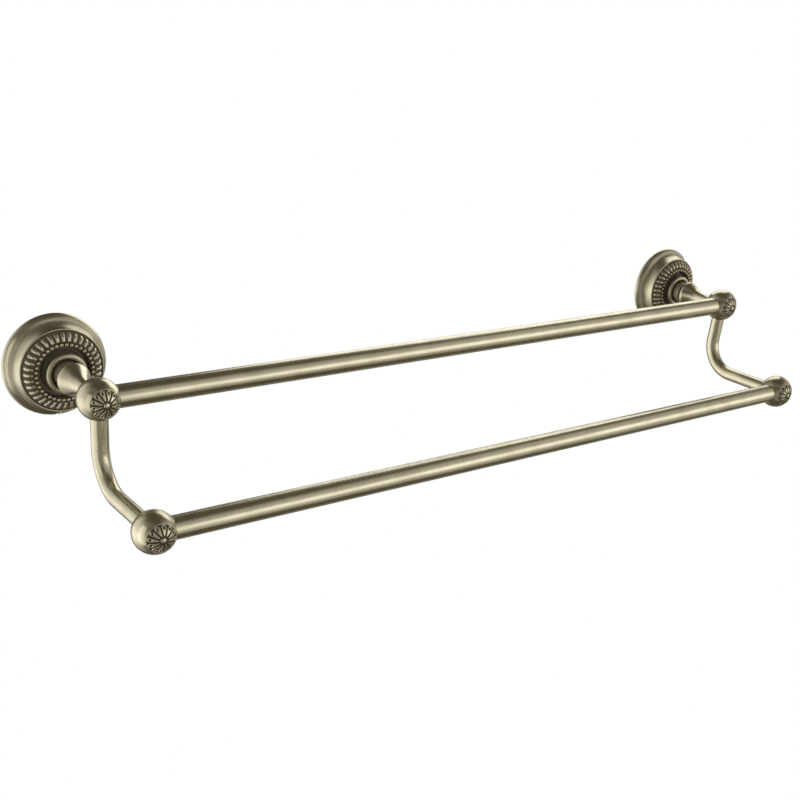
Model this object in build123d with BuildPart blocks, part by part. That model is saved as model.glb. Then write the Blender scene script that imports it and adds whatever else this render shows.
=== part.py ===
from build123d import *
import math
import os

# Double towel bar. X runs along the bars, +Z is up, the wall is the plane Y = 0 and the
# rack stands out towards -Y. The origin is on the wall, midway between the two posts,
# at the height of the upper balls. Millimetres.

# Layout
POST_SPACING = 610.0
UPPER_REACH = 78.5
LOWER_REACH = 158.0
DROP = 60.6

# Balls and bars
BALL_R = 14.25
BAR_R = 7.9
BAR_BORE_R = 5.9
SOCKET_GAP = 0.05
SOCKET_FLOOR = 5.6
END_GAP = 0.5

# Bent arm
ARM_R = 5.85
ARM_BEND_R = 26.0
ARM_CORNER_REACH = 75.2
ARM_CORNER_DROP = 61.6
ARM_SPIGOT_R = 4.0
ARM_SPIGOT_END = 5.2

# Wall plate
PLATE_R = 28.0
PLATE_T = 6.0
PLATE_GROOVE_R = 27.2
PLATE_GROOVE_W = 4.4
PLATE_HOLE_SPACING = 36.0
PLATE_HOLE_R = 2.6
PLATE_SINK_R = 5.0
PLATE_WINDOW_R = 11.0

# Flange
LIP_R = 36.3
LIP_H = 1.9
GROOVE_R = 32.3
GROOVE_H = 6.25
COVE_MID_R = 30.2
COVE_MID_H = 9.6
RIDGE_R = 28.55
RIDGE_H = 16.4
PAN_R = 28.2
WEB_FRONT = 15.5
WEB_BACK = 11.5
CAVITY_R = 24.0
PLATE_POCKET_R = 28.4
TIE_HOLE_R = 3.3

# Ornament ring
RING_OUT_R = 28.0
RING_IN_R = 17.9
LOBES = 36
LOBE_START = {"left": 8.4, "right": 7.2}
LOBE_LENGTH = 6.3
LOBE_W = 2.9
LOBE_MID_R = 24.7
LOBE_MID_H = 19.2
LOBE_TILT = 24.0
BEAD_R = 1.45
BEAD_RING_R = 19.55
BEAD_H = 20.45

# Collar and neck
BOSS_R = 9.3
COLLAR_R = 14.1
COLLAR_TOP_R = 12.4
COLLAR_TOP_H = 24.2
COLLAR_ROLL_R = 1.9
RIM_R = 11.5
RIM_H = 36.6
WAIST_R = 4.6
WAIST_H = 60.0
NECK_SPIGOT_R = 3.0
NECK_SPIGOT_END = 6.0

# Tie screw (M6) and grub screw (M5)
TIE_R = 3.0
TIE_END = 27.0
TIE_HEAD_R = 5.0
TIE_HEAD_T = 3.8
TIE_HEX_AF = 4.0
WASHER_R = 7.5
WASHER_T = 1.2
GRUB_R = 2.5
GRUB_H = 3.2
GRUB_TIP_R = 1.0
GRUB_LENGTH = 7.8
GRUB_HEX_AF = 2.5

# Rosettes
ROSETTE_R = 10.35
ROSETTE_SEAT = 9.3
ROSETTE_DOME_R = 13.8
PETALS = 12
PETAL_START = {"left_upper": 12.0, "left_lower": 21.0, "right_upper": 5.0, "right_lower": 26.0}
PETAL_MID_R = 6.6
PETAL_LENGTH = 7.0
PETAL_W = 2.6
EYE_R = 2.1
PEG_R = 2.0
PEG_END = 5.6


def save(piece, name):
    """Label one finished sub-part and write its STEP file."""
    piece.part.label = name
    export_step(piece.part, f"parts/{name}.step")
    print(name, round(piece.part.volume, 1))


def post_axis(post_x):
    """The line square to the wall through one post."""
    return Axis((post_x, 0, 0), (0, 1, 0))


def ball_centre(post_x, level):
    """Centre of the upper or the lower ball of one post."""
    if level == "upper":
        return Vector(post_x, -UPPER_REACH, 0)
    return Vector(post_x, -LOWER_REACH, -DROP)


def arm_frames(post_x):
    """Planes at the two ball centres, looking along the arm's legs towards its corner."""
    upper = ball_centre(post_x, "upper")
    lower = ball_centre(post_x, "lower")
    corner = Vector(post_x, -ARM_CORNER_REACH, -ARM_CORNER_DROP)
    down = Plane(origin=upper, x_dir=(1, 0, 0), z_dir=corner - upper)
    back = Plane(origin=lower, x_dir=(1, 0, 0), z_dir=corner - lower)
    return down, back, corner


os.makedirs("parts", exist_ok=True)

half = POST_SPACING / 2
posts = (("left", -half, 1), ("right", half, -1))

for side, post_x, inward in posts:
    profile_plane = Plane(origin=(post_x, 0, 0))
    axis = post_axis(post_x)
    upper = ball_centre(post_x, "upper")
    lower = ball_centre(post_x, "lower")
    down_plane, back_plane, corner = arm_frames(post_x)

    # Round plate on the wall: V groove in its edge, two countersunk screw holes, window
    # behind the tie screw's head.
    with BuildPart() as wall_plate:
        with BuildSketch(profile_plane):
            with BuildLine():
                Polyline(
                    (PLATE_WINDOW_R, 0),
                    (PLATE_R - 0.6, 0),
                    (PLATE_R, -0.6),
                    (PLATE_R, -GRUB_H + PLATE_GROOVE_W / 2),
                    (PLATE_GROOVE_R, -GRUB_H + GRUB_TIP_R),
                    (PLATE_GROOVE_R, -GRUB_H - GRUB_TIP_R),
                    (PLATE_R, -GRUB_H - PLATE_GROOVE_W / 2),
                    (PLATE_R, -PLATE_T + 0.4),
                    (PLATE_R - 0.4, -PLATE_T),
                    (PLATE_WINDOW_R, -PLATE_T),
                    close=True,
                )
            make_face()
        revolve(axis=axis)
        front = Plane(origin=(post_x, -PLATE_T, 0), x_dir=(1, 0, 0), z_dir=(0, -1, 0))
        with Locations(front):
            with GridLocations(0, PLATE_HOLE_SPACING, 1, 2):
                CounterSinkHole(PLATE_HOLE_R, PLATE_SINK_R, depth=PLATE_T)
    save(wall_plate, f"{side}_wall_plate")

    # Cast flange: rolled lip flowing into a concave cove, a crisp ridge, a pan for the
    # ornament ring, and behind it a pocket for the wall plate and a cavity for the screw.
    with BuildPart() as flange:
        with BuildSketch(profile_plane):
            with BuildLine():
                lip = Spline(
                    (LIP_R - 0.6, 0),
                    (LIP_R, -LIP_H),
                    (LIP_R - 0.4, -LIP_H - 1.2),
                    (LIP_R - 1.4, -LIP_H - 2.5),
                    (LIP_R - 2.3, -LIP_H - 3.3),
                    (GROOVE_R + 0.9, -GROOVE_H + 0.5),
                    (GROOVE_R, -GROOVE_H),
                    (GROOVE_R - 0.7, -GROOVE_H - 0.55),
                    (COVE_MID_R + 0.7, -COVE_MID_H + 1.7),
                    (COVE_MID_R, -COVE_MID_H),
                    (COVE_MID_R - 0.6, -COVE_MID_H - 2.1),
                    (RIDGE_R + 0.6, -RIDGE_H + 2.5),
                    (RIDGE_R + 0.4, -RIDGE_H + 1.0),
                )
                crest = ThreePointArc(
                    lip @ 1,
                    (RIDGE_R, -RIDGE_H),
                    (PAN_R + 0.1, -RIDGE_H + 0.5),
                )
                Polyline(
                    crest @ 1,
                    (PAN_R, -WEB_FRONT),
                    (TIE_HOLE_R, -WEB_FRONT),
                    (TIE_HOLE_R, -WEB_BACK),
                    (CAVITY_R - 3.0, -WEB_BACK),
                    (CAVITY_R, -WEB_BACK + 3.0),
                    (CAVITY_R, -PLATE_T),
                    (PLATE_POCKET_R, -PLATE_T),
                    (PLATE_POCKET_R, 0),
                    lip @ 0,
                )
            make_face()
        revolve(axis=axis)
        lip_bottom = Plane(
            origin=(post_x, -GRUB_H, -PLATE_POCKET_R + 1.0), x_dir=(1, 0, 0), z_dir=(0, 0, -1)
        )
        with BuildSketch(lip_bottom):
            Circle(GRUB_R)
        extrude(amount=LIP_R, mode=Mode.SUBTRACT)
    save(flange, f"{side}_flange")

    # Grub screw through the bottom of the lip, its flat tip in the plate's groove.
    grub_plane = Plane(
        origin=(post_x, -GRUB_H, -PLATE_GROOVE_R), x_dir=(1, 0, 0), z_dir=(0, 0, -1)
    )
    with BuildPart() as grub_screw:
        with BuildSketch(grub_plane):
            Circle(GRUB_TIP_R)
        with BuildSketch(grub_plane.offset(1.3)):
            Circle(GRUB_R)
        loft()
        with BuildSketch(grub_plane.offset(1.3)):
            Circle(GRUB_R)
        extrude(amount=GRUB_LENGTH - 1.3)
        with BuildSketch(grub_plane.offset(GRUB_LENGTH)):
            RegularPolygon(GRUB_HEX_AF / 2, 6, major_radius=False)
        extrude(amount=-2.5, mode=Mode.SUBTRACT)
    save(grub_screw, f"{side}_grub_screw")

    # Ornament ring: a conical band with radial lobes outside and round beads inside.
    with BuildPart() as ornament_ring:
        with BuildSketch(profile_plane):
            with BuildLine():
                Polyline(
                    (RING_IN_R, -WEB_FRONT),
                    (RING_OUT_R, -WEB_FRONT),
                    (RING_OUT_R, -16.6),
                    (21.6, -19.5),
                    (20.9, -20.2),
                    (18.3, -20.2),
                    (RING_IN_R, -19.7),
                    close=True,
                )
            make_face()
        revolve(axis=axis)
        ring_plane = Plane(origin=(post_x, 0, 0), x_dir=(1, 0, 0), z_dir=(0, -1, 0))
        with Locations(ring_plane.offset(LOBE_MID_H)):
            with PolarLocations(LOBE_MID_R, LOBES, start_angle=LOBE_START[side]):
                with Locations(Location((0, 0, 0), (0, LOBE_TILT, 0))):
                    Cylinder(LOBE_W / 2 - 0.35, LOBE_LENGTH - 1.6, rotation=(0, 90, 0))
        with Locations(ring_plane.offset(LOBE_MID_H)):
            with PolarLocations(LOBE_MID_R, LOBES, start_angle=LOBE_START[side]):
                with Locations(Location((0, 0, 0), (0, LOBE_TILT, 0))):
                    with Locations((-LOBE_LENGTH / 2 + 0.9, 0, 0)):
                        Sphere(LOBE_W / 2 - 0.2)
        with Locations(ring_plane.offset(BEAD_H)):
            with PolarLocations(BEAD_RING_R, LOBES, start_angle=LOBE_START[side] + 180 / LOBES):
                Sphere(BEAD_R)
    save(ornament_ring, f"{side}_ornament_ring")

    # Turned collar round the neck's boss, with a rolled top.
    with BuildPart() as collar:
        with BuildSketch(profile_plane):
            with BuildLine():
                roll = ThreePointArc(
                    (COLLAR_TOP_R + COLLAR_ROLL_R, -COLLAR_TOP_H),
                    (COLLAR_TOP_R, -COLLAR_TOP_H - COLLAR_ROLL_R),
                    (COLLAR_TOP_R - COLLAR_ROLL_R, -COLLAR_TOP_H),
                )
                Polyline(
                    roll @ 1,
                    (COLLAR_TOP_R - COLLAR_ROLL_R, -COLLAR_TOP_H + 2.4),
                    (BOSS_R, -COLLAR_TOP_H + 3.0),
                    (BOSS_R, -WEB_FRONT),
                    (COLLAR_R + 1.4, -WEB_FRONT),
                )
                ThreePointArc(
                    (COLLAR_R + 1.4, -WEB_FRONT),
                    (COLLAR_R - 0.3, -19.0),
                    roll @ 0,
                )
            make_face()
        revolve(axis=axis)
    save(collar, f"{side}_collar")

    # Turned neck: boss on the flange's web, rolled rim, cove down to a thin waist, and a
    # spigot in the ball. Its end is cut to the ball's surface.
    with BuildPart() as neck:
        with BuildSketch(profile_plane):
            with BuildLine():
                boss = Polyline(
                    (0, -WEB_FRONT),
                    (BOSS_R, -WEB_FRONT),
                    (BOSS_R, -31.5),
                )
                scotia = Spline(
                    boss @ 1,
                    (BOSS_R + 0.5, -33.3),
                    (RIM_R - 0.6, -RIM_H + 1.9),
                )
                rim = ThreePointArc(
                    scotia @ 1,
                    (RIM_R, -RIM_H),
                    (RIM_R - 0.5, -RIM_H - 1.9),
                )
                sweep_in = Spline(
                    rim @ 1,
                    (8.9, -42.6),
                    (7.1, -46.6),
                    (5.5, -52.5),
                    (WAIST_R, -WAIST_H),
                    (WAIST_R + 0.5, -66.5),
                )
                Polyline(
                    sweep_in @ 1,
                    (0, -66.5),
                    (0, -WEB_FRONT),
                )
            make_face()
        revolve(axis=axis)
        with Locations(Plane(origin=upper)):
            Sphere(BALL_R, mode=Mode.SUBTRACT)
        spigot_plane = Plane(origin=upper, x_dir=(1, 0, 0), z_dir=(0, 1, 0))
        with BuildSketch(spigot_plane.offset(NECK_SPIGOT_END)):
            Circle(NECK_SPIGOT_R)
        extrude(amount=BALL_R - NECK_SPIGOT_END)
        with BuildSketch(Plane(origin=(post_x, -WEB_FRONT, 0), z_dir=(0, -1, 0))):
            Circle(TIE_R)
        extrude(amount=TIE_END - WEB_FRONT + 1.0, mode=Mode.SUBTRACT)
    save(neck, f"{side}_neck")

    # Cap screw and washer that pull the neck onto the flange.
    with BuildPart() as tie_washer:
        with BuildSketch(Plane(origin=(post_x, -WEB_BACK, 0), z_dir=(0, 1, 0))):
            Circle(WASHER_R)
            Circle(TIE_HOLE_R, mode=Mode.SUBTRACT)
        extrude(amount=WASHER_T)
    save(tie_washer, f"{side}_tie_washer")

    head_plane = Plane(origin=(post_x, -WEB_BACK + WASHER_T, 0), z_dir=(0, 1, 0))
    with BuildPart() as tie_screw:
        with BuildSketch(head_plane):
            Circle(TIE_HEAD_R)
        extrude(amount=TIE_HEAD_T)
        chamfer(tie_screw.edges().group_by(Axis.Y)[-1], 0.4)
        with BuildSketch(head_plane):
            Circle(TIE_R)
        extrude(amount=-(TIE_END - WEB_BACK + WASHER_T))
        with BuildSketch(head_plane.offset(TIE_HEAD_T)):
            RegularPolygon(TIE_HEX_AF / 2, 6, major_radius=False)
        extrude(amount=-2.4, mode=Mode.SUBTRACT)
    save(tie_screw, f"{side}_tie_screw")

    # Balls: one socket for the bar, one for the arm's spigot, a seat and a peg hole for the
    # rosette, and in the upper ball a hole for the neck's spigot.
    for level, centre, leg in (("upper", upper, down_plane), ("lower", lower, back_plane)):
        bar_plane = Plane(origin=centre, x_dir=(0, 1, 0), z_dir=(inward, 0, 0))
        nose_plane = Plane(origin=centre, x_dir=(1, 0, 0), z_dir=(0, -1, 0))
        outer_plane = Plane(origin=centre, x_dir=(-inward, 0, 0), z_dir=(0, inward, 0))
        with BuildPart() as ball:
            with BuildSketch(outer_plane):
                with BuildLine():
                    ThreePointArc((0, -BALL_R), (BALL_R, 0), (0, BALL_R))
                    Line((0, BALL_R), (0, -BALL_R))
                make_face()
            revolve(axis=Axis(centre, (0, 0, 1)))
            with BuildSketch(bar_plane.offset(SOCKET_FLOOR)):
                Circle(BAR_R + SOCKET_GAP)
            extrude(amount=BALL_R, mode=Mode.SUBTRACT)
            with BuildSketch(leg.offset(ARM_SPIGOT_END)):
                Circle(ARM_SPIGOT_R)
            extrude(amount=BALL_R, mode=Mode.SUBTRACT)
            with BuildSketch(nose_plane.offset(ROSETTE_SEAT)):
                Circle(ROSETTE_R + 0.05)
            extrude(amount=BALL_R, mode=Mode.SUBTRACT)
            with BuildSketch(nose_plane.offset(PEG_END)):
                Circle(PEG_R)
            extrude(amount=BALL_R, mode=Mode.SUBTRACT)
            if level == "upper":
                with BuildSketch(spigot_plane.offset(NECK_SPIGOT_END)):
                    Circle(NECK_SPIGOT_R)
                extrude(amount=BALL_R, mode=Mode.SUBTRACT)
        save(ball, f"{side}_{level}_ball")

        # Daisy rosette: domed disc with a peg, raised petals and a round eye.
        with BuildPart() as rosette:
            with BuildSketch(nose_plane.offset(ROSETTE_SEAT)):
                Circle(ROSETTE_R)
            extrude(amount=BALL_R - ROSETTE_SEAT)
            with Locations(Plane(origin=centre)):
                Sphere(ROSETTE_DOME_R, mode=Mode.INTERSECT)
            with BuildSketch(nose_plane.offset(PEG_END)):
                Circle(PEG_R)
            extrude(amount=ROSETTE_SEAT - PEG_END + 0.5)
            petal_tilt = math.degrees(math.asin(PETAL_MID_R / ROSETTE_DOME_R))
            petal_height = math.sqrt(ROSETTE_DOME_R**2 - PETAL_MID_R**2)
            petal_start = PETAL_START[f"{side}_{level}"]
            with Locations(nose_plane.offset(petal_height - 0.35)):
                with PolarLocations(PETAL_MID_R, PETALS, start_angle=petal_start):
                    with Locations(Location((0, 0, 0), (0, petal_tilt, 0))):
                        Cylinder(PETAL_W / 2 - 0.3, PETAL_LENGTH - 2.4, rotation=(0, 90, 0))
            with Locations(nose_plane.offset(petal_height - 0.35)):
                with PolarLocations(PETAL_MID_R, PETALS, start_angle=petal_start):
                    with Locations(Location((0, 0, 0), (0, petal_tilt, 0))):
                        with Locations((PETAL_LENGTH / 2 - 1.2, 0, 0)):
                            Sphere(PETAL_W / 2)
            with Locations(nose_plane.offset(ROSETTE_DOME_R - 0.9)):
                Sphere(EYE_R)
        save(rosette, f"{side}_{level}_rosette")

    # Bent arm: straight leg down, round bend, straight leg forwards, shouldered on both
    # balls, with a spigot in each.
    to_upper = (upper - corner).normalized()
    to_lower = (lower - corner).normalized()
    half_angle = to_upper.get_angle(to_lower) / 2
    tangent_length = ARM_BEND_R / math.tan(math.radians(half_angle))
    bend_start = corner + to_upper * tangent_length
    bend_end = corner + to_lower * tangent_length
    with BuildPart() as arm:
        with BuildLine() as arm_path:
            leg_down = Line(upper, bend_start)
            bend = TangentArc(bend_start, bend_end, tangent=leg_down % 1)
            Line(bend_end, lower)
        with BuildSketch(down_plane):
            Circle(ARM_R)
        sweep(path=arm_path.wires()[0])
        with Locations(Plane(origin=upper), Plane(origin=lower)):
            Sphere(BALL_R, mode=Mode.SUBTRACT)
        with BuildSketch(down_plane.offset(ARM_SPIGOT_END), back_plane.offset(ARM_SPIGOT_END)):
            Circle(ARM_SPIGOT_R)
        extrude(amount=BALL_R - ARM_SPIGOT_END + 0.5)
    save(arm, f"{side}_arm")

# Bars: plain tubes, a little shorter than the room between the socket floors.
bar_length = POST_SPACING - 2 * SOCKET_FLOOR - 2 * END_GAP
for level in ("upper", "lower"):
    middle = ball_centre(0, level)
    with BuildPart() as bar:
        with BuildSketch(Plane(origin=middle, x_dir=(0, 1, 0), z_dir=(1, 0, 0))):
            Circle(BAR_R)
            Circle(BAR_BORE_R, mode=Mode.SUBTRACT)
        extrude(amount=bar_length / 2, both=True)
    save(bar, f"{level}_bar")
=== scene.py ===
import math

import bpy
from mathutils import Matrix, Vector


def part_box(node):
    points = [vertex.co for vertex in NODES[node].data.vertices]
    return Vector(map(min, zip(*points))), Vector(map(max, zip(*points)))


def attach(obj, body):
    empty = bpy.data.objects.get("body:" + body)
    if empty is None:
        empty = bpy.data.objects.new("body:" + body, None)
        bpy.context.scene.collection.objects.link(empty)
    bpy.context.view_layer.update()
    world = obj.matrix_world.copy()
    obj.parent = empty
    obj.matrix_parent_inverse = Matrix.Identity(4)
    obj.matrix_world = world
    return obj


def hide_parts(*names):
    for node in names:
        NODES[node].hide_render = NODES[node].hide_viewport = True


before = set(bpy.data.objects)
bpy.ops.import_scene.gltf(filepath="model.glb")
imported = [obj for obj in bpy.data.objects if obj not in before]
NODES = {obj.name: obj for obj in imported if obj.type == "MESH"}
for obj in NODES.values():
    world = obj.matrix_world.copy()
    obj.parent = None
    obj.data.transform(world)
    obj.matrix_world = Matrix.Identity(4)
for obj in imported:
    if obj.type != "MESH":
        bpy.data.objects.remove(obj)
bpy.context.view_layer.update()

MM = 0.001

# ---------------------------------------------------------------- places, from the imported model
LOW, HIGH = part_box("right_flange")
POST_X = (LOW.x + HIGH.x) / 2
BALL_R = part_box("right_upper_ball")[1].x - POST_X
LOW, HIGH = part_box("upper_bar")
UPPER_REACH, UPPER_Z = -(LOW.y + HIGH.y) / 2, (LOW.z + HIGH.z) / 2
LOW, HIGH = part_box("lower_bar")
LOWER_REACH, LOWER_Z = -(LOW.y + HIGH.y) / 2, (LOW.z + HIGH.z) / 2
RING_BACK = -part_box("left_ornament_ring")[1].y
SIDES = {"left": -POST_X, "right": POST_X}


# ---------------------------------------------------------------- camera
VIEW_ANGLES = (-39.382, 25.212, 4.871)
VIEW_PLACE = (-0.56755, -0.76008, 0.26618)
SENSOR, LENS = 36.0, 51.81
SHIFT_X, SHIFT_Y = -0.0586, 0.1425


def make_camera():
    """The photograph's viewpoint, from its azimuth, elevation and roll in degrees."""
    azimuth, elevation, roll = (math.radians(angle) for angle in VIEW_ANGLES)
    back = Vector(
        (
            math.sin(azimuth) * math.cos(elevation),
            -math.cos(azimuth) * math.cos(elevation),
            math.sin(elevation),
        )
    )
    right = Vector((math.cos(azimuth), math.sin(azimuth), 0))
    up = back.cross(right)
    axis_x = right * math.cos(roll) + up * math.sin(roll)
    axis_y = up * math.cos(roll) - right * math.sin(roll)
    data = bpy.data.cameras.new("camera")
    data.sensor_width = SENSOR
    data.lens = LENS
    data.shift_x = SHIFT_X
    data.shift_y = SHIFT_Y
    data.clip_start, data.clip_end = 0.05, 100.0
    camera = bpy.data.objects.new("camera", data)
    bpy.context.scene.collection.objects.link(camera)
    turn = Matrix((axis_x, axis_y, back)).transposed().to_4x4()
    camera.matrix_world = Matrix.Translation(VIEW_PLACE) @ turn
    bpy.context.scene.camera = camera


# ---------------------------------------------------------------- node helpers
class Tree:
    """Short calls for building one node tree."""

    def __init__(self, tree):
        self.tree = tree
        tree.nodes.clear()

    def node(self, kind, inputs=None, **settings):
        made = self.tree.nodes.new(kind)
        for key, value in settings.items():
            setattr(made, key, value)
        for key, value in (inputs or {}).items():
            self.put(made.inputs[key], value)
        return made

    def put(self, socket, value):
        if isinstance(value, bpy.types.NodeSocket):
            self.tree.links.new(value, socket)
        else:
            socket.default_value = value

    def math(self, operation, *values, clamp=False):
        made = self.node("ShaderNodeMath", operation=operation, use_clamp=clamp)
        for socket, value in zip(made.inputs, values):
            self.put(socket, value)
        return made.outputs[0]

    def ramp(self, value, low, high, out_low=0.0, out_high=1.0, smooth=True):
        made = self.node(
            "ShaderNodeMapRange", interpolation_type="SMOOTHSTEP" if smooth else "LINEAR"
        )
        for key, number in (
            ("Value", value),
            ("From Min", low),
            ("From Max", high),
            ("To Min", out_low),
            ("To Max", out_high),
        ):
            self.put(made.inputs[key], number)
        return made.outputs[0]

    def mix(self, factor, a, b):
        made = self.node("ShaderNodeMix", data_type="RGBA")
        self.put(made.inputs[0], factor)
        self.put(made.inputs[6], a)
        self.put(made.inputs[7], b)
        return made.outputs[2]

    def noise(self, vector, scale, detail=3.0, rough=0.5):
        made = self.node(
            "ShaderNodeTexNoise",
            {"Vector": vector, "Scale": scale, "Detail": detail, "Roughness": rough},
        )
        return made.outputs[0]


def rgb(red, green, blue):
    """A linear colour from 0-255 display values."""
    return tuple(
        c / 12.92 if c <= 0.04045 else ((c + 0.055) / 1.055) ** 2.4
        for c in (red / 255, green / 255, blue / 255)
    ) + (1.0,)


# ---------------------------------------------------------------- materials
# Places in metres for patina and painted shade: the middle and half width of the flange's hollow,
# the pan's edge, the collar's inside, the collar's foot, and under the neck's rim. The hollow, the
# pan and the collar's foot carry patina; the collar's inside and under the neck's rim carry
# painted shade
HOLLOW_R, HOLLOW_WIDE = 0.0313, 0.0022
PAN_IN, PAN_OUT = 0.0281, 0.0284
COLLAR_IN, COLLAR_OUT = 0.0102, 0.0108
FOOT_LOW, FOOT_HIGH = 0.0165, 0.0205
UNDER_LOW, UNDER_HIGH = 0.0315, 0.0338
CLEAN = rgb(216, 209, 182)
AGED = rgb(156, 147, 117)
# The next colour is the patina's, and also the painted shade inside the collar's top and round the
# neck
OXIDE_AND_SHADE = rgb(132, 122, 104)
MID_OXIDE = rgb(112, 101, 84)
DARK_OXIDE = rgb(74, 68, 48)


def round_post(t, x, z):
    """The distance across from the nearer post's axis, and the radius round it."""
    across = t.math("SUBTRACT", t.math("ABSOLUTE", x), POST_X)
    radius = t.math("SQRT", t.math("ADD", t.math("POWER", across, 2.0), t.math("POWER", z, 2.0)))
    return across, radius


def brass(name, grain, roughness=0.3, patina_and_shade_by=None, mottle=0.35, bump=0.05, oxide_and_shade=OXIDE_AND_SHADE):
    """Antique brass: a lacquered, brushed face with a thin brown patina.

    grain says which way the brushing runs: "x", "turned" round the post, or "ball".
    The dark-share function builds a share, 0 to 1, from the tree and the coordinates: brown patina
    in hollows, and painted shade inside the collar's top and round the neck.
    """
    material = bpy.data.materials.new(name)
    material.use_nodes = True
    t = Tree(material.node_tree)
    place = t.node("ShaderNodeTexCoord").outputs["Object"]
    split = t.node("ShaderNodeSeparateXYZ", {0: place})
    x, y, z = split.outputs
    if grain == "x":
        coords = t.node("ShaderNodeCombineXYZ", {0: t.math("MULTIPLY", x, 0.012), 1: y, 2: z})
    elif grain == "turned":
        across, radius = round_post(t, x, z)
        turn = t.math("ARCTAN2", z, across)
        coords = t.node(
            "ShaderNodeCombineXYZ", {0: radius, 1: y, 2: t.math("MULTIPLY", turn, 0.0004)}
        )
    else:
        coords = t.node("ShaderNodeCombineXYZ", {0: t.math("MULTIPLY", x, 0.35), 1: y, 2: z})
    lines = t.noise(coords.outputs[0], 2600.0, 4.0, 0.62)
    cloud = t.noise(place, 55.0, 4.0, 0.55)
    wear = t.ramp(cloud, 0.35, 0.72)
    aged = t.math("MULTIPLY", wear, mottle)
    aged = t.math("ADD", aged, t.ramp(lines, 0.3, 0.75, 0.0, 0.22), clamp=True)
    colour = t.mix(aged, CLEAN, AGED)
    rough = t.ramp(lines, 0.2, 0.8, roughness - 0.05, roughness + 0.07)
    metallic = 1.0
    if patina_and_shade_by is not None:
        # the dark share: patina, and painted shade where the collar and neck functions give it
        dark = patina_and_shade_by(t, x, y, z, cloud)
        colour = t.mix(dark, colour, oxide_and_shade)
        rough = t.math("ADD", rough, t.math("MULTIPLY", dark, 0.25), clamp=True)
        metallic = t.ramp(dark, 0.0, 1.0, 1.0, 0.35)
    ripple = t.node(
        "ShaderNodeBump", {"Strength": bump, "Distance": 0.00005, "Height": lines}
    )
    shader = t.node(
        "ShaderNodeBsdfPrincipled",
        {
            "Base Color": colour,
            "Metallic": metallic,
            "Roughness": rough,
            "Normal": ripple.outputs[0],
        },
    )
    t.node("ShaderNodeOutputMaterial", {0: shader.outputs[0]})
    return material


def recess_oxide(t, x, y, z, cloud):
    """Dark where the modelled relief is deep, from the mesh's own recess value."""
    recess = t.node("ShaderNodeAttribute", attribute_name="recess").outputs["Fac"]
    return t.ramp(
        t.math("ADD", recess, t.math("MULTIPLY", t.math("SUBTRACT", cloud, 0.5), 0.25)), 0.4, 0.9
    )


def flange_oxide(t, x, y, z, cloud):
    """A cloudy patina in the cove's hollow, and the pan's dark floor."""
    _, radius = round_post(t, x, z)
    hollow = t.ramp(t.math("ABSOLUTE", t.math("SUBTRACT", radius, HOLLOW_R)), 0, HOLLOW_WIDE, 1, 0)
    hollow = t.math("MULTIPLY", hollow, t.ramp(cloud, 0.3, 0.7, 0.3, 0.55))
    pan = t.ramp(radius, PAN_IN, PAN_OUT, 1, 0)
    return t.math("MAXIMUM", hollow, pan, clamp=True)


def collar_shade_and_patina(t, x, y, z, cloud):
    """Painted shade inside the collar's rolled top, and a brown patina at its foot."""
    _, radius = round_post(t, x, z)
    # painted shade in the groove inside the collar's rolled top
    inside = t.ramp(radius, COLLAR_IN, COLLAR_OUT, 1, 0)
    foot = t.ramp(t.math("MULTIPLY", y, -1.0), FOOT_LOW, FOOT_HIGH, 1, 0.16)
    return t.math("MAXIMUM", inside, foot, clamp=True)


def neck_painted_shade(t, x, y, z, cloud):
    """Painted shade between the collar and the neck's rim, and where the neck meets the ball."""
    out = t.math("MULTIPLY", y, -1.0)
    # painted shade under the neck's rim and by the ball, at 0.6 strength
    under = t.ramp(out, UNDER_LOW, UNDER_HIGH, 1, 0)
    tip = t.ramp(out, UPPER_REACH - BALL_R - 0.0006, UPPER_REACH - BALL_R + 0.0016)
    return t.math("MULTIPLY", t.math("MAXIMUM", under, tip, clamp=True), 0.6)


# ---------------------------------------------------------------- relief meshes
def smooth(value):
    value = min(1.0, max(0.0, value))
    return value * value * (3 - 2 * value)


def between(value, stops):
    """Straight-line interpolation through (place, height) stops."""
    for (a, low), (b, high) in zip(stops, stops[1:]):
        if value <= b:
            return low + (high - low) * max(0.0, value - a) / (b - a)
    return stops[-1][1]


def mesh_object(name, verts, faces, recess):
    """A smooth mesh in the scene that keeps each point's recess, 0 on top to 1 in the deep."""
    mesh = bpy.data.meshes.new(name)
    mesh.from_pydata(verts, [], faces)
    mesh.update()
    mesh.shade_smooth()
    layer = mesh.attributes.new("recess", "FLOAT", "POINT")
    layer.data.foreach_set("value", recess)
    made = bpy.data.objects.new(name, mesh)
    bpy.context.scene.collection.objects.link(made)
    return made


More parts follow.
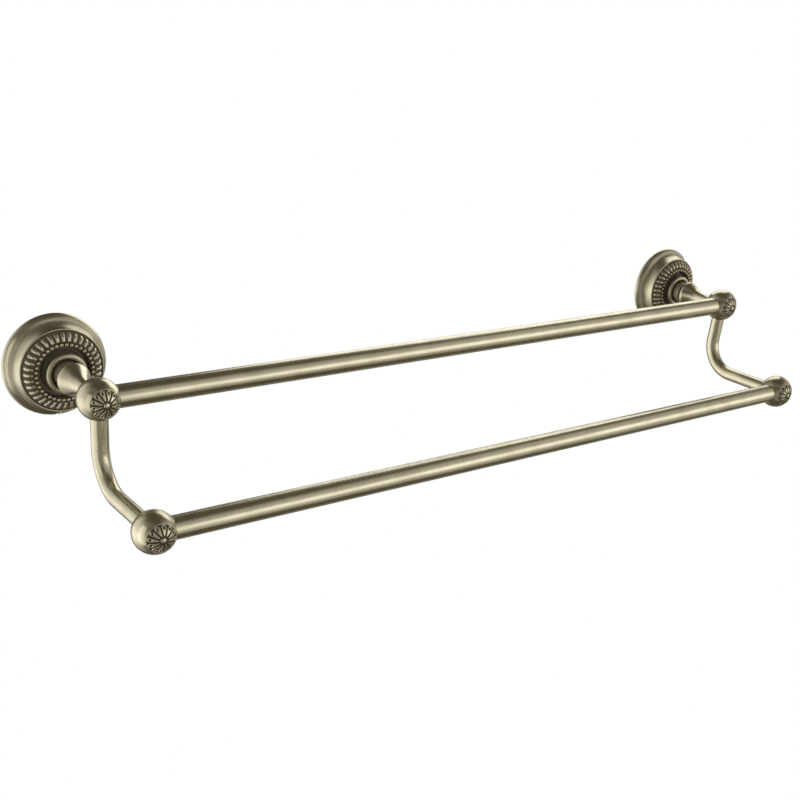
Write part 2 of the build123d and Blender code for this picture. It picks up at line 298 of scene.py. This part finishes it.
def polar_solid(name, centre, radii, steps, height, back, turn=0.0):
    """A closed turned solid facing -Y: height(r, angle) gives the front's distance and its recess.

    radii run from the inside out; a first radius of zero closes the middle. back is the
    distance of the flat rear face.
    """
    verts, recess, faces = [], [], []
    closed = radii[0] == 0
    rings = radii[1:] if closed else radii
    for radius in rings:
        for k in range(steps):
            angle = 2 * math.pi * k / steps
            out, deep = height(radius, angle - turn)
            verts.append(
                (
                    centre.x + radius * math.cos(angle),
                    centre.y - out,
                    centre.z + radius * math.sin(angle),
                )
            )
            recess.append(deep)
    count = len(rings)
    for i in range(count - 1):
        for k in range(steps):
            a, b = i * steps + k, i * steps + (k + 1) % steps
            faces.append((a, b, b + steps, a + steps))
    outer = (count - 1) * steps
    rear = len(verts)
    for ring in (rings[-1],) if closed else (rings[-1], rings[0]):
        for k in range(steps):
            angle = 2 * math.pi * k / steps
            verts.append(
                (
                    centre.x + ring * math.cos(angle),
                    centre.y - back,
                    centre.z + ring * math.sin(angle),
                )
            )
            recess.append(1.0)
    for k in range(steps):
        n = (k + 1) % steps
        faces.append((outer + k, outer + n, rear + n, rear + k))
        if not closed:
            faces.append((n, k, rear + steps + k, rear + steps + n))
            faces.append((rear + k, rear + n, rear + steps + n, rear + steps + k))
    if closed:
        out, deep = height(0.0, 0.0)
        front = len(verts)
        verts.append((centre.x, centre.y - out, centre.z))
        recess.append(deep)
        verts.append((centre.x, centre.y - back, centre.z))
        recess.append(1.0)
        for k in range(steps):
            n = (k + 1) % steps
            faces.append((front, n, k))
            faces.append((front + 1, rear + k, rear + n))
    return mesh_object(name, verts, faces, recess)


# Ornament ring: 36 gadroons, 36 beads between them. Radii and distances from the wall in mm;
# the crest and the floor are (radius, distance) stops.
LOBES = 36
RING_STEPS = 84
RING_TURNS = {"left": 8.4, "right": 7.2}
RING_IN, RING_OUT = 17.9 * MM, 28.0 * MM
LOBE_IN, LOBE_END = 21.0, 27.3
LOBE_IN_ROUND, LOBE_END_ROUND = 1.3, 1.2
LOBE_HALF, LOBE_SPREAD = 1.2, 0.42
CREST = ((21.0, 21.2), (22.2, 21.3), (24.6, 20.7), (26.0, 19.5), (27.3, 17.5))
FLOOR = (
    (17.9, 19.1),
    (18.4, 19.6),
    (20.9, 19.6),
    (22.0, 19.5),
    (25.0, 18.7),
    (27.0, 16.7),
    (28.0, 15.8),
)
BEAD_RING, BEAD_R, BEAD_OUT = 19.5, 1.45, 20.4


def ring_height(radius, angle):
    """The ring's distance from the wall and its recess, at a radius and angle round the post."""
    r = radius / MM
    pitch = 2 * math.pi / LOBES
    floor = between(r, FLOOR)
    out, deep = floor, 1.0
    # gadroon
    phase = (angle + pitch / 2) % pitch - pitch / 2
    across = abs(phase) * r
    t = (r - LOBE_IN) / (LOBE_END - LOBE_IN)
    if 0 < t < 1:
        ends = min(1.0, (r - LOBE_IN) / LOBE_IN_ROUND, (LOBE_END - r) / LOBE_END_ROUND)
        cap = math.sqrt(max(0.0, 1 - (1 - ends) ** 2))
        half = (LOBE_HALF + LOBE_SPREAD * t) * cap
        if across < half:
            dome = math.sqrt(max(0.0, 1 - (across / half) ** 2))
            crest = between(r, CREST)
            out = floor + (crest - floor) * dome * (0.35 + 0.65 * cap)
            deep = 1 - smooth((dome - 0.1) * 1.5) * smooth(cap * 1.4)
    # bead
    phase = angle % pitch - pitch / 2
    gap = math.hypot(phase * r, r - BEAD_RING)
    if gap < BEAD_R:
        rise = BEAD_OUT + math.sqrt(BEAD_R**2 - gap**2)
        if rise > out:
            out = rise
            deep = 1 - smooth((1 - (gap / BEAD_R) ** 2) * 1.25)
    return out * MM, deep


def build_rings():
    """Put the detailed rings in place of the plain ones."""
    radii = [RING_IN + (RING_OUT - RING_IN) * i / RING_STEPS for i in range(RING_STEPS + 1)]
    for side, turn in RING_TURNS.items():
        ring = polar_solid(
            f"{side}_ornament_relief",
            Vector((SIDES[side], 0, 0)),
            radii,
            LOBES * 24,
            ring_height,
            RING_BACK,
            math.radians(turn),
        )
        ring.data.materials.append(RELIEF)
        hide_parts(f"{side}_ornament_ring")
        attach(ring, "root")


# Rosette: twelve looped petals round a domed eye, on the ball's own curve
PETALS = 12
ROSETTE_R = 10.35
ROSETTE_BACK = 9.3 * MM
ROSETTE_STEPS = 72
# Degrees from the ball's front: where petals begin and end, the hollows' middle, the rim
PETAL_START, PETAL_END = 10.5, 42.3
HOLLOW_MIDDLE, HOLLOW_REACH = 34.0, 5.2
RIM_START, RIM_WIDTH = 41.4, 1.8
# Millimetres above (+) or below (-) the ball's own surface
GROUND, PETAL_RISE, HOLLOW_DEPTH, RIM_LEVEL = -0.75, 0.8, 0.75, -0.02
PETAL_GAP, PETAL_EDGE, HOLLOW_HALF = 0.3, 0.42, 0.95
EYE_R, EYE_FOOT, EYE_RISE = 2.0, -0.55, 0.95
# How far each rosette is turned in its ball, in degrees
ROSETTE_TURNS = {
    ("left", "upper"): 12.0,
    ("left", "lower"): 21.0,
    ("right", "upper"): 5.0,
    ("right", "lower"): 26.0,
}


def rosette_height(radius, angle):
    """The rosette's distance out from the ball's centre and its recess, at a radius and angle."""
    r = radius / MM
    ball = BALL_R / MM
    theta = math.degrees(math.asin(min(0.999, r / ball)))
    pitch = 2 * math.pi / PETALS
    phase = (angle + pitch / 2) % pitch - pitch / 2
    across = abs(phase) * r
    # petal outline: narrow by the eye, full near its rounded outer end
    half_pitch = pitch / 2 * r
    t = (theta - PETAL_START) / (PETAL_END - PETAL_START)
    level = GROUND
    if 0 < t < 1:
        tip = math.sqrt(max(0.0, 1 - max(0.0, (t - 0.66) / 0.34) ** 2))
        root = smooth(t / 0.12)
        half = max(0.05, (half_pitch - PETAL_GAP) * tip * (0.55 + 0.45 * root))
        edge = smooth((half - across) / PETAL_EDGE)
        level = GROUND + PETAL_RISE * edge
        # hollow by the outer end
        reach = (theta - HOLLOW_MIDDLE) / HOLLOW_REACH
        hollow = 1 - smooth((math.hypot(across / HOLLOW_HALF, reach) - 0.45) / 0.6)
        level -= HOLLOW_DEPTH * hollow * edge
    surface = level
    # eye
    eye = r / EYE_R
    if eye < 1:
        surface = max(surface, EYE_FOOT + EYE_RISE * math.sqrt(1 - eye**2))
    # the ball's own surface outside the petals
    rim = smooth((theta - RIM_START) / RIM_WIDTH)
    surface = surface * (1 - rim) + RIM_LEVEL * rim
    deep = smooth((-0.05 - surface) / 0.6)
    out = math.sqrt(max(0.0, ball**2 - r**2)) * (ball + surface) / ball
    return out * MM, deep


def build_rosettes():
    """Put the detailed rosettes in place of the plain ones."""
    radii = [ROSETTE_R * MM * i / ROSETTE_STEPS for i in range(ROSETTE_STEPS + 1)]
    for (side, level), turn in ROSETTE_TURNS.items():
        reach, z = (UPPER_REACH, UPPER_Z) if level == "upper" else (LOWER_REACH, LOWER_Z)
        rosette = polar_solid(
            f"{side}_{level}_daisy",
            Vector((SIDES[side], -reach, z)),
            radii,
            PETALS * 32,
            rosette_height,
            ROSETTE_BACK,
            math.radians(turn),
        )
        rosette.data.materials.append(ROSETTE)
        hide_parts(f"{side}_{level}_rosette")
        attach(rosette, "root")


# ---------------------------------------------------------------- light and backdrop
ROOM_LIGHT = 0.085
ROOM_TINT = (1.1, 0.98, 0.7, 1.0)
# Boxes near the rack: name, place, aim, width and height in metres, and glow
NEAR_BOXES = (
    ("back_box", (0.62, 0.6, 0.53), (-1.13, -0.5, 0.0), 1.0, 0.82, 1.5),
    ("side_box", (-0.65, -0.18, -0.07), (0.98, 0.17, 0.0), 0.21, 0.62, 0.9),
)
# Far boxes: azimuth from and to (0 in front of the wall, 90 to the right) and soft edge,
# elevation from and to and soft edge, all in degrees, and strength
SOFT_BOXES = (
    (-164.0, -97.0, 9.0, -54.0, 40.0, 28.0, 0.85),
    (-158.0, -84.0, 18.0, -34.0, 4.0, 12.0, 0.5),
    (-112.0, -12.0, 14.0, 44.0, 68.0, 9.0, 0.11),
    (96.0, 172.0, 10.0, -64.0, 14.0, 10.0, 0.2),
    (17.0, 66.0, 8.0, -9.0, 17.0, 8.0, 1.05),
    (-8.0, 80.0, 12.0, -34.0, 50.0, 12.0, 0.45),
    (84.0, 116.0, 9.0, -16.0, 34.0, 10.0, 0.4),
    (-4.0, 22.0, 8.0, -40.0, -8.0, 9.0, 0.35),
    (-58.0, -10.0, 10.0, -50.0, 24.0, 12.0, 0.21),
)
FLOOR_SIZE, FLOOR_Z, DOME_R = 24, -1.2, 14


def make_world():
    """A soft warm room with the far boxes in it."""
    world = bpy.data.worlds.new("studio")
    bpy.context.scene.world = world
    world.use_nodes = True
    t = Tree(world.node_tree)
    direction = t.node("ShaderNodeTexCoord").outputs["Generated"]
    x, y, z = t.node("ShaderNodeSeparateXYZ", {0: direction}).outputs
    azimuth = t.math("MULTIPLY", t.math("ARCTAN2", x, t.math("MULTIPLY", y, -1.0)), 180 / math.pi)
    elevation = t.math("MULTIPLY", t.math("ARCSINE", z), 180 / math.pi)

    def box(left, right, side_soft, foot, top, end_soft, strength):
        """One soft box: its reach in azimuth and in elevation, each with its soft edge."""
        middle, half = (left + right) / 2, (right - left) / 2
        aside = t.math("ABSOLUTE", t.math("WRAP", t.math("SUBTRACT", azimuth, middle), 180, -180))
        sides = t.ramp(aside, half - side_soft, half + side_soft, 1, 0)
        above = t.math("ABSOLUTE", t.math("SUBTRACT", elevation, (foot + top) / 2))
        tall = (top - foot) / 2
        ends = t.ramp(above, tall - end_soft, tall + end_soft, 1, 0)
        return t.math("MULTIPLY", t.math("MULTIPLY", sides, ends), strength)

    total = 0.0
    for soft_box in SOFT_BOXES:
        total = t.math("ADD", box(*soft_box), total)
    boxes = t.node("ShaderNodeBackground", {"Color": (1, 1, 1, 1), "Strength": total})
    room = t.node("ShaderNodeBackground", {"Color": ROOM_TINT, "Strength": ROOM_LIGHT})
    both = t.node("ShaderNodeAddShader", {0: boxes.outputs[0], 1: room.outputs[0]})
    t.node("ShaderNodeOutputWorld", {0: both.outputs[0]})


def make_near_box(name, place, aim, width, height, glow):
    """A soft box near enough to the rack to look different from its two ends."""
    data = bpy.data.lights.new(name, "AREA")
    data.shape = "RECTANGLE"
    data.size, data.size_y = width, height
    data.energy = glow * math.pi * width * height
    light = bpy.data.objects.new(name, data)
    bpy.context.scene.collection.objects.link(light)
    light.location = place
    light.rotation_euler = Vector(aim).to_track_quat("-Z", "Y").to_euler()
    light.visible_camera = False




def make_backdrop():
    """A pale floor well below the rack and a pale dome, both seen by the camera only."""
    material = bpy.data.materials.new("backdrop_white")
    material.use_nodes = True
    t = Tree(material.node_tree)
    shade = t.node("ShaderNodeEmission", {"Color": (1, 1, 1, 1), "Strength": 1.0})
    t.node("ShaderNodeOutputMaterial", {0: shade.outputs[0]})
    bpy.ops.mesh.primitive_plane_add(size=FLOOR_SIZE, location=(0, 0, FLOOR_Z))
    floor = bpy.context.object
    floor.name = "floor"
    bpy.ops.mesh.primitive_uv_sphere_add(
        segments=48, ring_count=24, radius=DOME_R, location=(0, 0, 0)
    )
    dome = bpy.context.object
    dome.name = "dome"
    for stage in (floor, dome):
        stage.data.materials.append(material)
        stage.visible_diffuse = False
        stage.visible_glossy = False
        stage.visible_transmission = False
        stage.visible_shadow = False


# ---------------------------------------------------------------- the scene
make_camera()
RELIEF = brass("relief_brass_aged", "ball", 0.28, recess_oxide, 0.1, 0.03, MID_OXIDE)
ROSETTE = brass("rosette_brass_aged", "ball", 0.3, recess_oxide, 0.3, 0.03, DARK_OXIDE)
BALL = brass("ball_brass", "ball", 0.25, None, 0.3, 0.04)
BAR = brass("brushed_bar_brass", "x", 0.25, None, 0.25, 0.06)
ARM = brass("arm_brass", "ball", 0.25, None, 0.3, 0.04)
FLANGE = brass("flange_brass", "turned", 0.27, flange_oxide, 0.3, 0.05)
# the collar gets painted shade inside its top and a patina at its foot
COLLAR = brass("collar_brass", "turned", 0.34, collar_shade_and_patina, 0.15, 0.05)
# the neck gets painted shade under its rim and where it meets the ball
NECK = brass("neck_brass", "turned", 0.25, neck_painted_shade, 0.3, 0.05)
METAL = {
    "wall_plate": BALL,
    "flange": FLANGE,
    "grub_screw": BALL,
    "collar": COLLAR,
    "neck": NECK,
    "tie_washer": BALL,
    "tie_screw": BALL,
    "upper_ball": BALL,
    "lower_ball": BALL,
    "arm": ARM,
    "upper_bar": BAR,
    "lower_bar": BAR,
}
for node_name, node in NODES.items():
    plain = node_name.replace("left_", "").replace("right_", "")
    if plain in METAL:
        for material_slot in node.material_slots:
            material_slot.material = METAL[plain]
build_rings()
build_rosettes()
make_world()
for near_box in NEAR_BOXES:
    make_near_box(*near_box)
make_backdrop()
bpy.context.scene.view_settings.view_transform = "Standard"
